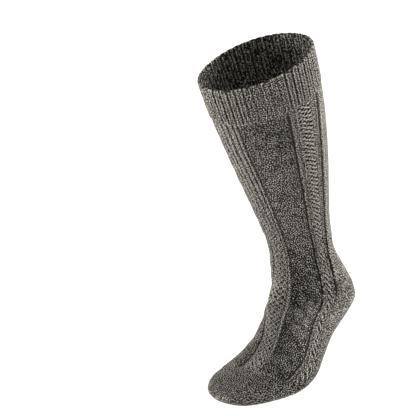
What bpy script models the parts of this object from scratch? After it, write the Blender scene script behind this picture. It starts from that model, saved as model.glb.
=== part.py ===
"""A knitted lederhosen knee sock for a left foot, standing in the shape that a leg gives it.

Metres. The origin lies on the inside of the sole under the ankle, +Z runs up the leg, the toes
point to -Y and +X is the outer side of the foot. The sock is worked out as one smooth skin, from
sections stacked from the rim to the toe, and each knitted part is a stretch of that skin with an
outside, an inside and a rim. Its ribs, ditches and cables stand on the outside only.
"""
import math

import bpy
import numpy as np

# Sizes of the leg
SOCK_HEIGHT = 0.354          # from under the sole to the middle of the rim
RIM_SLOPE = 0.007            # how much higher the rim is at the back than in front
CUFF_HEIGHT = 0.043
CALF_WIDTH = 0.137           # across the rim, outside
CALF_DEPTH = 0.142           # front to back at the rim, outside
CALF_SET_BACK = 0.013        # how far the rim's middle lies behind the ankle's
ANKLE_WIDTH = 0.074
ANKLE_DEPTH = 0.083
ANKLE_HEIGHT = 0.128         # of the narrowest part of the shin
ANKLE_BACK_HEIGHT = 0.115    # of the same section at the tendon

# Sizes of the foot
HEEL_REACH = 0.051           # how far the heel goes behind the ankle's middle
TOE_REACH = 0.2015           # how far the toe goes in front of it
HEEL_WIDTH = 0.074
BALL_WIDTH = 0.114
HEEL_HEIGHT = 0.046          # top edge of the heel pocket at the back
HEEL_LENGTH = 0.056          # from the heel's back to where the sole starts
TOE_CAP_LENGTH = 0.038

# Sizes of the knitting
WALL = 0.0026                # thickness of the plain knitting
SEAM_GAP = 0.0003            # free space between two parts
RIB_COUNT = 43
RIB_HEIGHT = 0.0009          # how far the cuff's ribs stand out
RIB_DITCH_DEPTH = 0.0010
BAND_HEIGHT = 0.0008         # how far the smooth columns stand out
DITCH_DEPTH = 0.0012         # of the dark lines beside the bands
LADDER_DEPTH = 0.0005        # of the eyelet and ladder columns
CABLE_HEIGHT = 0.0020
CABLE_PITCH = 0.023          # from one crossing to the next
RELIEF_FADE = 0.014          # length over which the pattern runs out at heel and rim

# Leg sections from the rim down. rise: share of the way from the ankle to the rim. fuller: share
# of the way from the ankle's girth to the calf's. set_back: share of CALF_SET_BACK. fullest: where
# the section is widest, 0 in front and 1 behind. round: the power of the section's curve, 2 for
# an ellipse.
LEG_COLUMNS = ("rise", "fuller", "set_back", "fullest", "round")
LEG_SECTIONS = (
    (1.00, 1.00, 1.00, 0.50, 2.1),
    (0.84, 0.945, 0.94, 0.50, 2.1),
    (0.68, 0.83, 0.88, 0.50, 2.1),
    (0.52, 0.66, 0.74, 0.50, 2.1),
    (0.365, 0.46, 0.54, 0.50, 2.1),
    (0.21, 0.24, 0.28, 0.50, 2.1),
    (0.09, 0.08, 0.08, 0.50, 2.1),
    (0.00, 0.00, 0.00, 0.49, 2.1),
)

# Sections that fan round the ankle. ahead: share of the way from the shin to the toe. top and
# under: heights as shares of ANKLE_HEIGHT, in front and behind. behind: share of the way from the
# tendon to the heel's back. round_top and round_under: powers of the curve in front and behind.
TURN_COLUMNS = ("ahead", "top", "behind", "under", "fullest", "round_top", "round_under")
TURN_SECTIONS = (
    (0.016, 0.860, -0.48, 0.720, 0.46, 2.1, 2.2),
    (0.053, 0.766, 0.04, 0.530, 0.48, 2.1, 2.3),
    (0.103, 0.673, 0.67, 0.344, 0.55, 2.1, 2.4),
    (0.162, 0.612, 0.99, 0.188, 0.60, 2.1, 2.5),
    (0.228, 0.559, 0.47, 0.039, 0.62, 2.1, 2.6),
)

# Sections of the foot. ahead and top as above. sole_ahead: share of TOE_REACH. under: height of
# the sole as a share of ANKLE_HEIGHT. outward: shift to the outer side as a share of BALL_WIDTH.
# heel_part and ball_part: shares of HEEL_WIDTH and BALL_WIDTH that make up the width.
FOOT_COLUMNS = ("ahead", "top", "sole_ahead", "under", "outward", "heel_part", "ball_part",
                "fullest", "round_top", "round_under")
FOOT_SECTIONS = (
    (0.294, 0.534, -0.050, 0.008, 0.035, 0.97, 0.03, 0.66, 2.0, 2.8),
    (0.371, 0.465, 0.174, 0.039, 0.090, 0.81, 0.19, 0.70, 2.0, 2.9),
    (0.473, 0.382, 0.392, 0.047, 0.155, 0.40, 0.60, 0.70, 2.0, 2.8),
    (0.604, 0.325, 0.581, 0.016, 0.185, 0.00, 1.00, 0.66, 2.0, 2.7),
    (0.730, 0.307, 0.733, 0.000, 0.155, 0.00, 1.00, 0.62, 2.1, 2.6),
    (0.843, 0.284, 0.857, 0.008, 0.060, 0.00, 0.855, 0.60, 2.2, 2.5),
    (0.933, 0.246, 0.947, 0.031, -0.010, 0.00, 0.61, 0.58, 2.2, 2.4),
    (0.981, 0.202, 0.985, 0.070, -0.035, 0.00, 0.35, 0.55, 2.2, 2.2),
    (1.000, 0.165, 1.000, 0.110, -0.040, 0.00, 0.16, 0.50, 2.1, 2.1),
)
TOE_TIP_SWELL = 0.0006       # how far the closed tip stands before the last section

# Where the bands' edges lie at some sections, as shares of the way round from the middle of the
# front band. The last edge is the back middle at 0.5. turned: how far the pattern has slipped
# round the leg there, outward, or inward where it is negative.
BAND_COLUMNS = ("section", "front_band", "side_band", "ladder", "back", "turned")
BAND_EDGES = (
    (0.0, 0.057, 0.196, 0.246, 0.315, -0.042),
    (2.3, 0.057, 0.191, 0.239, 0.295, -0.038),
    (3.5, 0.057, 0.184, 0.232, 0.287, -0.026),
    (5.5, 0.057, 0.183, 0.230, 0.286, -0.012),
    (7.5, 0.057, 0.186, 0.228, 0.280, -0.010),
    (9.9, 0.057, 0.185, 0.221, 0.261, -0.008),
    (12.5, 0.058, 0.190, 0.230, 0.262, 0.000),
    (14.0, 0.057, 0.192, 0.232, 0.268, -0.004),
    (15.2, 0.055, 0.196, 0.238, 0.272, -0.020),
    (16.3, 0.054, 0.190, 0.240, 0.272, -0.018),
    (17.4, 0.058, 0.198, 0.240, 0.272, -0.002),
    (21.0, 0.058, 0.198, 0.240, 0.272, 0.000),
)

# Lines of points down the sock, for one half. Each lies in a band, some part of the way across
# it, and has its own form on the outside.
FRONT_BAND, CABLE_PANEL, SIDE_BAND, LADDER_BAND, BACK = range(5)
LINE_COLUMNS = ("band", "part", "form")
LINES = (
    (FRONT_BAND, 0.00, "eyelets"),
    (FRONT_BAND, 0.45, "eyelets"),
    (FRONT_BAND, 0.80, "band"),
    (CABLE_PANEL, 0.00, "ditch"),
    (CABLE_PANEL, 0.07, "plain"),
    (CABLE_PANEL, 0.20, "cable"),
    (CABLE_PANEL, 0.32, "cable"),
    (CABLE_PANEL, 0.44, "cable"),
    (CABLE_PANEL, 0.56, "cable"),
    (CABLE_PANEL, 0.68, "cable"),
    (CABLE_PANEL, 0.80, "cable"),
    (CABLE_PANEL, 0.93, "plain"),
    (SIDE_BAND, 0.00, "ditch"),
    (SIDE_BAND, 0.28, "band"),
    (SIDE_BAND, 0.65, "ladder"),
    (LADDER_BAND, 0.00, "ladder"),
    (LADDER_BAND, 0.45, "band"),
    (LADDER_BAND, 0.80, "band"),
    (BACK, 0.00, "ditch"),
    (BACK, 0.06, "ridge"),
    (BACK, 0.16, "plain"),
    (BACK, 0.32, "plain"),
    (BACK, 0.49, "plain"),
    (BACK, 0.66, "plain"),
    (BACK, 0.83, "plain"),
    (BACK, 1.00, "plain"),
)
LINES_ROUND = 2 * (len(LINES) - 1)
SIDE_LINE = next(index for index, entry in enumerate(LINES) if entry[0] == BACK)
CABLE_MIDDLE_SHARE = 0.50    # of the cable panel's width
CABLE_HALF_SHARE = 0.36
CABLE_SLANT = 2.2            # radians by which the crossings lean across the cable
CABLE_SWING = 0.45           # share of the cable's height that rises and falls
CABLE_COLUMNS = ("section", "grown")    # grown: share of CABLE_HEIGHT, less over the calf
CABLE_GROWTH = (
    (0.0, 0.50),
    (6.0, 0.60),
    (10.0, 0.90),
    (13.0, 1.00),
    (21.0, 1.00),
)

# Steps along each part, all even, because the inside has half as many
CUFF_STEPS = 4
LEG_STEPS = 40
HEEL_STEPS = 10
SOLE_STEPS = 14
TOE_STEPS = 8
POINTS_PER_RIB = 4
INSIDE_STEP = 2
OUTLINE_SAMPLES = 480
COURSE_SAMPLES = 400
PANEL_SHARE = 0.11           # the line down the cable panel along which lengths are taken

# Finish
WOOL_COLOUR = (0.205, 0.195, 0.160, 1.0)
DARKER_WOOL = (0.160, 0.153, 0.127, 1.0)
WOOL_ROUGHNESS = 0.92


def named(columns, row):
    """One row of a table as a dictionary."""
    return dict(zip(columns, row))


def leg_section(row):
    """One section of the leg: front, back, middle, half width, widest share and two powers."""
    shares = named(LEG_COLUMNS, row)
    depth = ANKLE_DEPTH + (CALF_DEPTH - ANKLE_DEPTH) * shares["fuller"]
    width = ANKLE_WIDTH + (CALF_WIDTH - ANKLE_WIDTH) * shares["fuller"]
    middle = CALF_SET_BACK * shares["set_back"]
    rim_front = SOCK_HEIGHT - RIM_SLOPE / 2
    rim_back = SOCK_HEIGHT + RIM_SLOPE / 2
    front_high = ANKLE_HEIGHT + (rim_front - ANKLE_HEIGHT) * shares["rise"]
    back_high = ANKLE_BACK_HEIGHT + (rim_back - ANKLE_BACK_HEIGHT) * shares["rise"]
    return (middle - depth / 2, front_high, middle + depth / 2, back_high,
            0.0, width / 2, shares["fullest"], shares["round"], shares["round"])


def reach_ahead(share):
    """How far forward a point of the shin, instep or toe lies."""
    shin = ANKLE_DEPTH / 2
    return -(shin + (TOE_REACH - shin) * share)


def turn_section(row):
    """One of the sections that fan round the ankle and heel."""
    shares = named(TURN_COLUMNS, row)
    tendon = ANKLE_DEPTH / 2
    back = tendon + (HEEL_REACH - tendon) * shares["behind"]
    return (reach_ahead(shares["ahead"]), ANKLE_HEIGHT * shares["top"],
            back, ANKLE_HEIGHT * shares["under"],
            0.0, HEEL_WIDTH / 2, shares["fullest"], shares["round_top"], shares["round_under"])


def foot_section(row):
    """One section across the foot."""
    shares = named(FOOT_COLUMNS, row)
    width = HEEL_WIDTH * shares["heel_part"] + BALL_WIDTH * shares["ball_part"]
    return (reach_ahead(shares["ahead"]), ANKLE_HEIGHT * shares["top"],
            -TOE_REACH * shares["sole_ahead"], ANKLE_HEIGHT * shares["under"],
            BALL_WIDTH * shares["outward"], width / 2,
            shares["fullest"], shares["round_top"], shares["round_under"])


SECTIONS = np.array(
    [leg_section(row) for row in LEG_SECTIONS]
    + [turn_section(row) for row in TURN_SECTIONS]
    + [foot_section(row) for row in FOOT_SECTIONS]
)
LAST_SECTION = len(SECTIONS) - 1


def section_at(place):
    """The section at any place between the listed ones, on a smooth curve through them."""
    first = min(int(place), LAST_SECTION - 1)
    before = SECTIONS[max(first - 1, 0)]
    start = SECTIONS[first]
    end = SECTIONS[first + 1]
    after = SECTIONS[min(first + 2, LAST_SECTION)]
    t = place - first
    return 0.5 * (2 * start + (end - before) * t
                  + (2 * before - 5 * start + 4 * end - after) * t ** 2
                  + (3 * start - before - 3 * end + after) * t ** 3)


def outline_at(place, shares):
    """Points of the smooth skin at shares of the way round, from the front to the outer side."""
    front_y, front_z, back_y, back_z, middle_x, half, fullest, power_front, power_back = (
        section_at(place))
    turn = np.linspace(0.0, 2 * math.pi, OUTLINE_SAMPLES + 1)
    cosine = np.cos(turn)
    sine = np.sin(turn)
    power = 2.0 / np.where(cosine > 0, power_front, power_back)
    along = np.sign(cosine) * np.abs(cosine) ** power
    across = np.sign(sine) * np.abs(sine) ** power
    depth = np.where(along > 0, fullest * (1 - along), fullest - (1 - fullest) * along)
    points = np.stack([middle_x + half * across,
                       front_y + (back_y - front_y) * depth,
                       front_z + (back_z - front_z) * depth - WALL], axis=1)
    lengths = np.linalg.norm(np.diff(points, axis=0), axis=1)
    travelled = np.concatenate([[0.0], np.cumsum(lengths)]) / lengths.sum()
    wanted = np.mod(shares, 1.0)
    return np.stack([np.interp(wanted, travelled, points[:, axis]) for axis in range(3)], axis=1)


def outward_at(place, shares):
    """Unit directions out of the skin at the same points."""
    step_down = 0.03
    step_round = 0.003
    higher = outline_at(max(place - step_down, 0.0), shares)
    lower = outline_at(min(place + step_down, LAST_SECTION), shares)
    left = outline_at(place, shares - step_round)
    right = outline_at(place, shares + step_round)
    normal = np.cross(lower - higher, right - left)
    return normal / np.linalg.norm(normal, axis=1, keepdims=True)


PLACES = np.linspace(0.0, LAST_SECTION, COURSE_SAMPLES)
FRONT_LINE = np.array([section_at(place)[:4] for place in PLACES])
PANEL_LINE = np.array([outline_at(place, np.array([PANEL_SHARE]))[0] for place in PLACES])
COURSE = np.concatenate([[0.0], np.cumsum(np.linalg.norm(np.diff(PANEL_LINE, axis=0), axis=1))])


def course_at(place):
    """Length knitted from the rim down to a place, taken along the cable panel."""
    return np.interp(place, PLACES, COURSE)


def place_where(values, wanted, lowest=0.0):
    """The first place from the lowest one on where a falling value reaches the wanted one."""
    reached = (PLACES >= lowest) & (values <= wanted)
    return float(PLACES[reached][0])


TURN_START = len(LEG_SECTIONS) - 1
FOOT_START = len(LEG_SECTIONS) + len(TURN_SECTIONS)
CUFF_END = place_where(FRONT_LINE[:, 1], SOCK_HEIGHT - RIM_SLOPE / 2 - CUFF_HEIGHT)
HEEL_TOP = place_where(FRONT_LINE[:, 3], HEEL_HEIGHT, TURN_START)
HEEL_END = place_where(FRONT_LINE[:, 2], HEEL_REACH - HEEL_LENGTH, TURN_START)
TOE_START = place_where(FRONT_LINE[:, 0], -(TOE_REACH - TOE_CAP_LENGTH), FOOT_START)


def even_places(start, end, steps):
    """Places that lie evenly along the cable panel."""
    lengths = np.linspace(course_at(start), course_at(end), steps + 1)
    return np.interp(lengths, COURSE, PLACES)


def band_edges(place):
    """The five bands' edges at a place, from front middle to back middle, and their turn."""
    table = dict(zip(BAND_COLUMNS, np.array(BAND_EDGES).T))
    inner = [np.interp(place, table["section"], table[edge])
             for edge in ("front_band", "side_band", "ladder", "back")]
    return [0.0] + inner + [0.5], np.interp(place, table["section"], table["turned"])


def line_entry(line):
    """The table row of a numbered line and its side: 1 outer, -1 inner, past the back middle."""
    turn = line % LINES_ROUND
    side = 1 if turn <= LINES_ROUND // 2 else -1
    return named(LINE_COLUMNS, LINES[turn if side > 0 else LINES_ROUND - turn]), side


def line_shares(place, lines):
    """Where the numbered lines lie at a place."""
    edges, turned = band_edges(place)
    shares = []
    for line in lines:
        entry, side = line_entry(line)
        near = edges[entry["band"]]
        far = edges[entry["band"] + 1]
        share = near + (far - near) * entry["part"]
        shares.append(side * share + turned * (1 - 2 * share))
    return np.array(shares)


def cable_height(place, part):
    """The rope's height, which rises and falls on a slant with each crossing."""
    across = (part - CABLE_MIDDLE_SHARE) / CABLE_HALF_SHARE
    crown = max(0.0, 1 - across ** 2)
    growth = dict(zip(CABLE_COLUMNS, np.array(CABLE_GROWTH).T))
    height = CABLE_HEIGHT * np.interp(place, growth["section"], growth["grown"])
    phase = 2 * math.pi * course_at(place) / CABLE_PITCH - CABLE_SLANT * across
    return height * crown * (1 - CABLE_SWING + CABLE_SWING * math.cos(phase))


def fade(place, edge):
    """0 at an edge of the pattern and 1 once RELIEF_FADE past it."""
    return min(1.0, abs(course_at(place) - course_at(edge)) / RELIEF_FADE)


def pattern_relief(place, lines):
    """How far the outside stands off the plain skin along the numbered lines."""
    heights = []
    for line in lines:
        entry, _ = line_entry(line)
        form = entry["form"]
        height = 0.0
        if form in ("band", "ridge"):
            height = BAND_HEIGHT
        elif form in ("eyelets", "ladder"):
            height = -LADDER_DEPTH
        elif form == "ditch":
            height = -DITCH_DEPTH
        elif form == "cable":
            height = cable_height(place, entry["part"]) * fade(place, CUFF_END)
        if entry["band"] == BACK:
            height *= fade(place, HEEL_TOP) if place < HEEL_TOP else 0.0
        heights.append(height * fade(place, TOE_START))
    return np.array(heights)


def no_relief(place, lines):
    """The plain parts have no pattern."""
    return np.zeros(len(lines))


def rib_relief(place, points):
    """The cuff's upright ribs, one wave of the outside for each, from a ditch at the front."""
    wave = -np.cos(2 * math.pi * np.array(points) / POINTS_PER_RIB)
    return np.where(wave > 0, RIB_HEIGHT, RIB_DITCH_DEPTH) * wave


def rib_shares(place, points):
    """Points spread evenly round the cuff."""
    return np.array(points) / (RIB_COUNT * POINTS_PER_RIB)


def grid(places, lines, shares_of, offset_of):
    """Skin points moved outward, one row for each place and one column for each line."""
    rows = []
    for place in places:
        shares = shares_of(place, lines)
        moved = offset_of(place, lines)[:, None] * outward_at(place, shares)
        rows.append(outline_at(place, shares) + moved)
    return np.array(rows)


def draw_back(points, neighbours):
    """Edge points moved towards their neighbours by half of the gap between two parts."""
    step = neighbours - points
    return points + step / np.linalg.norm(step, axis=-1, keepdims=True) * SEAM_GAP / 2


def leave_gaps(points, at_start, at_end, at_sides):
    """The same grid, drawn back where another part joins on."""
    result = points.copy()
    if at_start:
        result[0] = draw_back(points[0], points[1])
    if at_end:
        result[-1] = draw_back(points[-1], points[-2])
    if at_sides:
        result[:, 0] = draw_back(result[:, 0], result[:, 1])
        result[:, -1] = draw_back(result[:, -1], result[:, -2])
    return result


def grid_faces(start, rows, columns, closed, flip):
    """Four-sided faces over a grid whose points are numbered row by row."""
    faces = []
    for row in range(rows - 1):
        for column in range(columns if closed else columns - 1):
            right = (column + 1) % columns
            face = (start + row * columns + column, start + (row + 1) * columns + column,
                    start + (row + 1) * columns + right, start + row * columns + right)
            faces.append(face[::-1] if flip else face)
    return faces


def rim_faces(outer, inner, closed):
    """Faces from a chain of outside points to the chain of inside points under every second one."""
    faces = []
    count = len(outer)
    spans = count // INSIDE_STEP if closed else len(inner) - 1
    for span in range(spans):
        first = INSIDE_STEP * span
        middle = first + 1
        last = (first + INSIDE_STEP) % count
        near = inner[span]
        far = inner[(span + 1) % len(inner)]
        faces.append((outer[first], outer[middle], near))
        faces.append((outer[middle], far, near))
        faces.append((outer[middle], outer[last], far))
    return faces


def knitted_part(name, colour, places, lines, shares_of, relief_of, seams, closed, tip=False):
    """One knitted part: an outside with its pattern, a plain inside and a rim between them.

    seams says whether another part joins on at the start, at the end and at the sides. tip closes
    the last row with one point outside and one inside.
    """
    inner_places = places[::INSIDE_STEP]
    inner_lines = lines[::INSIDE_STEP]
    outside = leave_gaps(grid(places, lines, shares_of, relief_of), *seams)
    inside = leave_gaps(
        grid(inner_places, inner_lines, shares_of, lambda place, some: np.full(len(some), -WALL)),
        *seams)
    rows, columns = outside.shape[:2]
    inner_rows, inner_columns = inside.shape[:2]
    points = [tuple(point) for point in outside.reshape(-1, 3)]
    points += [tuple(point) for point in inside.reshape(-1, 3)]
    base = rows * columns

    faces = grid_faces(0, rows, columns, closed, flip=False)
    faces += grid_faces(base, inner_rows, inner_columns, closed, flip=True)
    faces += rim_faces(list(range(columns)),
                       [base + column for column in range(inner_columns)], closed)
    last_outer = [(rows - 1) * columns + column for column in range(columns)]
    last_inner = [base + (inner_rows - 1) * inner_columns + column
                  for column in range(inner_columns)]
    if tip:
        faces += close_tip(points, outside[-1], last_outer, TOE_TIP_SWELL, False)
        faces += close_tip(points, inside[-1], last_inner, TOE_TIP_SWELL, True)
    else:
        faces += [face[::-1] for face in rim_faces(last_outer, last_inner, closed)]
    if not closed:
        left_outer = [row * columns for row in range(rows)]
        left_inner = [base + row * inner_columns for row in range(inner_rows)]
        right_outer = [row * columns + columns - 1 for row in range(rows)]
        right_inner = [base + row * inner_columns + inner_columns - 1
                       for row in range(inner_rows)]
        faces += [face[::-1] for face in rim_faces(left_outer, left_inner, False)]
        faces += rim_faces(right_outer, right_inner, False)

    mesh = bpy.data.meshes.new(name)
    mesh.from_pydata(points, [], faces)
    mesh.update()
    mesh.shade_smooth()
    mesh.set_sharp_from_angle(angle=math.radians(50))
    mesh.materials.append(wool(name + "_wool", colour))
    part = bpy.data.objects.new(name, mesh)
    part.parent = SOCK
    PARTS.objects.link(part)
    return part


def close_tip(points, ring, numbers, swell, flip):
    """Faces from the last ring of points to a new one before its middle."""
    middle = ring.mean(axis=0)
    points.append((middle[0], middle[1] - swell, middle[2]))
    tip = len(points) - 1
    faces = [(numbers[index], tip, numbers[(index + 1) % len(numbers)])
             for index in range(len(numbers))]
    return [face[::-1] for face in faces] if flip else faces


def wool(name, colour):
    """Matt wool."""
    material = bpy.data.materials.new(name)
    material.use_nodes = True
    shader = material.node_tree.nodes["Principled BSDF"]
    shader.inputs["Base Color"].default_value = colour
    shader.inputs["Roughness"].default_value = WOOL_ROUGHNESS
    shader.inputs["Metallic"].default_value = 0.0
    return material


for old in list(bpy.data.objects):
    bpy.data.objects.remove(old, do_unlink=True)
PARTS = bpy.data.collections.new("lederhosen_sock")
bpy.context.scene.collection.children.link(PARTS)
SOCK = bpy.data.objects.new("sock_origin", None)
PARTS.objects.link(SOCK)

ALL_ROUND = list(range(LINES_ROUND))
OVER_THE_FOOT = list(range(-SIDE_LINE, SIDE_LINE + 1))
UNDER_THE_FOOT = list(range(SIDE_LINE, LINES_ROUND - SIDE_LINE + 1))
RIB_POINTS = list(range(RIB_COUNT * POINTS_PER_RIB))

heel_places = even_places(HEEL_TOP, HEEL_END, HEEL_STEPS)
sole_places = even_places(HEEL_END, TOE_START, SOLE_STEPS)
instep_places = np.concatenate([heel_places, sole_places[1:]])

knitted_part("cuff", WOOL_COLOUR, even_places(0.0, CUFF_END, CUFF_STEPS), RIB_POINTS,
             rib_shares, rib_relief, (False, True, False), closed=True)
knitted_part("leg", WOOL_COLOUR, even_places(CUFF_END, HEEL_TOP, LEG_STEPS), ALL_ROUND,
             line_shares, pattern_relief, (True, True, False), closed=True)
knitted_part("instep", WOOL_COLOUR, instep_places, OVER_THE_FOOT,
             line_shares, pattern_relief, (True, True, True), closed=False)
knitted_part("heel", DARKER_WOOL, heel_places, UNDER_THE_FOOT,
             line_shares, no_relief, (True, True, True), closed=False)
knitted_part("sole", DARKER_WOOL, sole_places, UNDER_THE_FOOT,
             line_shares, no_relief, (True, True, True), closed=False)
knitted_part("toe_cap", DARKER_WOOL, even_places(TOE_START, LAST_SECTION, TOE_STEPS), ALL_ROUND,
             line_shares, no_relief, (True, False, False), closed=True, tip=True)
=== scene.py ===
"""Looks of a knitted lederhosen knee sock: wool, stitches, ribs, cables, light and camera.

The skin of the sock is worked out again from the same sections as the CAD solids. On it lies a
grid of points that follows the knitting: each stitch has a few columns and rows of its own, and
every band raises or lowers its stitches. Lengths are metres. +Z runs up the leg, the toes point
to -Y and +X is the outer side of a left foot.
"""
import math

import bpy
import numpy as np
from mathutils import Matrix, Vector


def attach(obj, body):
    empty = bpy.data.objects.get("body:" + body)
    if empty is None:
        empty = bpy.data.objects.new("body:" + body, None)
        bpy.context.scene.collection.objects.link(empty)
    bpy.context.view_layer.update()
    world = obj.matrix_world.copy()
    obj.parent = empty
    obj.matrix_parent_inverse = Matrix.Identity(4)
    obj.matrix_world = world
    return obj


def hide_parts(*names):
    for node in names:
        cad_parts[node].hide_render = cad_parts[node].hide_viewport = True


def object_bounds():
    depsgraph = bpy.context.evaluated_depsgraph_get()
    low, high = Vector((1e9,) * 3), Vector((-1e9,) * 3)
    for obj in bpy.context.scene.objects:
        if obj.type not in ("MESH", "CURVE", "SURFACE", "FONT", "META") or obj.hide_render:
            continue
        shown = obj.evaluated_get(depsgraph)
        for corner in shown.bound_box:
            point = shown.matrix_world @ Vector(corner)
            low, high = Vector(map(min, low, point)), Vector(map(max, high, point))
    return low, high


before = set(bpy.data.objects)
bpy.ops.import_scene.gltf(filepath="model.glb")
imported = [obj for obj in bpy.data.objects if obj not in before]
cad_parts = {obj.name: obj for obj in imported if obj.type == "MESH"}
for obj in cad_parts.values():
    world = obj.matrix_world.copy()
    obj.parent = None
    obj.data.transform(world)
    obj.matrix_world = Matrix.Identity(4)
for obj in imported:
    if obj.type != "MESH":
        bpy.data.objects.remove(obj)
CAD_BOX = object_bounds()

# Sizes of the sock, as in the CAD model
SOCK_HEIGHT = 0.354
RIM_SLOPE = 0.007
CUFF_HEIGHT = 0.043
CALF_WIDTH = 0.137
CALF_DEPTH = 0.142
CALF_SET_BACK = 0.013
ANKLE_WIDTH = 0.074
ANKLE_DEPTH = 0.083
ANKLE_HEIGHT = 0.128
ANKLE_BACK_HEIGHT = 0.115
HEEL_REACH = 0.051
TOE_REACH = 0.2015
HEEL_WIDTH = 0.074
BALL_WIDTH = 0.114
HEEL_HEIGHT = 0.046
HEEL_LENGTH = 0.056
TOE_CAP_LENGTH = 0.038
WALL = 0.0026
CABLE_PITCH = 0.023
CABLE_HALF_SHARE = 0.34  # half width as a share of the cable panel's
CABLE_SLANT = 2.8

LEG_COLUMNS = ("rise", "fuller", "set_back", "fullest", "round")
LEG_SECTIONS = (
    (1.00, 1.00, 1.00, 0.50, 2.1),
    (0.84, 0.945, 0.94, 0.50, 2.1),
    (0.68, 0.83, 0.88, 0.50, 2.1),
    (0.52, 0.66, 0.74, 0.50, 2.1),
    (0.365, 0.46, 0.54, 0.50, 2.1),
    (0.21, 0.24, 0.28, 0.50, 2.1),
    (0.09, 0.08, 0.08, 0.50, 2.1),
    (0.00, 0.00, 0.00, 0.49, 2.1),
)
TURN_COLUMNS = ("ahead", "top", "behind", "under", "fullest", "round_top", "round_under")
TURN_SECTIONS = (
    (0.016, 0.860, -0.48, 0.720, 0.46, 2.1, 2.2),
    (0.053, 0.766, 0.04, 0.530, 0.48, 2.1, 2.3),
    (0.103, 0.673, 0.67, 0.344, 0.55, 2.1, 2.4),
    (0.162, 0.612, 0.99, 0.188, 0.60, 2.1, 2.5),
    (0.228, 0.559, 0.47, 0.039, 0.62, 2.1, 2.6),
)
FOOT_COLUMNS = ("ahead", "top", "sole_ahead", "under", "outward", "heel_part", "ball_part",
                "fullest", "round_top", "round_under")
FOOT_SECTIONS = (
    (0.294, 0.534, -0.050, 0.008, 0.035, 0.97, 0.03, 0.66, 2.0, 2.8),
    (0.371, 0.465, 0.174, 0.039, 0.090, 0.81, 0.19, 0.70, 2.0, 2.9),
    (0.473, 0.382, 0.392, 0.047, 0.155, 0.40, 0.60, 0.70, 2.0, 2.8),
    (0.604, 0.325, 0.581, 0.016, 0.185, 0.00, 1.00, 0.66, 2.0, 2.7),
    (0.730, 0.307, 0.733, 0.000, 0.155, 0.00, 1.00, 0.62, 2.1, 2.6),
    (0.843, 0.284, 0.857, 0.008, 0.060, 0.00, 0.855, 0.60, 2.2, 2.5),
    (0.933, 0.246, 0.947, 0.031, -0.010, 0.00, 0.61, 0.58, 2.2, 2.4),
    (0.981, 0.202, 0.985, 0.070, -0.035, 0.00, 0.35, 0.55, 2.2, 2.2),
    (1.000, 0.165, 1.000, 0.110, -0.040, 0.00, 0.16, 0.50, 2.1, 2.1),
)
# Edges of the bands as shares of the way round. turned: how far the pattern slipped outward.
BAND_COLUMNS = ("section", "front_band", "side_band", "ladder", "back", "turned")
BAND_EDGES = (
    (0.0, 0.057, 0.196, 0.246, 0.315, -0.042),
    (2.3, 0.057, 0.191, 0.239, 0.295, -0.038),
    (3.5, 0.057, 0.184, 0.232, 0.287, -0.026),
    (5.5, 0.057, 0.183, 0.230, 0.286, -0.012),
    (7.5, 0.057, 0.186, 0.228, 0.280, -0.010),
    (9.9, 0.057, 0.185, 0.221, 0.261, -0.008),
    (12.5, 0.058, 0.190, 0.230, 0.262, 0.000),
    (14.0, 0.057, 0.192, 0.232, 0.268, -0.004),
    (15.2, 0.055, 0.196, 0.238, 0.272, -0.020),
    (16.3, 0.054, 0.190, 0.240, 0.272, -0.018),
    (17.4, 0.058, 0.198, 0.240, 0.272, -0.002),
    (21.0, 0.058, 0.198, 0.240, 0.272, 0.000),
)

# The knitting. A wale is a column of stitches and a course is a round of them.
WALES = (7, 17, 6, 7, 26)  # in each band of one half, from the front middle to the back
FRONT_BAND, CABLE_PANEL, SIDE_BAND, LADDER_BAND, BACK = range(5)
COLUMNS_PER_WALE = 4
ROWS_PER_COURSE = 3
RIB_COUNT = 43
WALES_PER_RIB = 4
TOE_WALE = 0.0021  # width of one wale of the toe cap
# Lengths down from the rim, and the height of one course there.
COURSE_HEIGHTS = ((0.00, 0.00165), (0.12, 0.00170), (0.22, 0.00190), (0.30, 0.0024),
                  (0.475, 0.0025))

# The flecks of the yarn, kept on a square tile of noise that repeats
FLECK_LENGTH = 0.0024  # from one light fleck to the next
FLECK_SPREAD = 0.40  # share by which that length varies
FLECK_SEED = 7
BACK_FLECKS = 0.80  # flecks of the leg's back: longer round it, by one over this
TILE_CELL = 0.0005
TILE_CELLS = 512

# Strengths at some sections. The lines are ditches: before the outer and inner cable panel, the
# side bands and the back. front_ribs: lines that run on from the cuff down the front band.
# painted_panel_shade: painted shade that makes the outer panel darker than the wool beside it.
# slanted: over a half the ladder's strokes lie on one slant, under it in staggered columns.
STRENGTH_COLUMNS = ("section", "panel_line", "inner_line", "side_line", "back_line", "cable",
                    "ladder", "front_ribs", "painted_panel_shade", "slanted")
STRENGTHS = (
    (0.0, 0.80, 0.80, 0.95, 1.00, 0.35, 1.00, 1.00, 0.33, 0.0),
    (4.0, 0.80, 0.80, 0.95, 1.00, 0.45, 1.00, 0.80, 0.17, 0.0),
    (6.0, 0.80, 0.80, 0.95, 1.00, 0.50, 1.00, 0.50, 0.17, 0.0),
    (8.5, 0.60, 1.00, 1.00, 1.00, 0.70, 0.90, 0.15, 0.21, 0.2),
    (10.0, 0.40, 1.00, 1.00, 1.00, 0.80, 0.75, 0.00, 0.21, 0.8),
    (11.2, 0.37, 1.00, 1.00, 0.90, 0.86, 0.66, 0.00, 0.21, 0.9),
    (12.0, 0.35, 1.00, 1.00, 0.10, 0.90, 0.52, 0.00, 0.22, 1.0),
    (21.0, 0.35, 0.80, 0.40, 0.10, 0.90, 0.52, 0.00, 0.21, 1.0),
)

# How clearly the cuff's ribs stand out at shares of the way round: least over the outer shin
RIB_CLEARNESS = ((0.00, 1.0), (0.05, 0.8), (0.09, 0.45), (0.15, 0.45), (0.19, 0.9), (1.00, 1.0))
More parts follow.
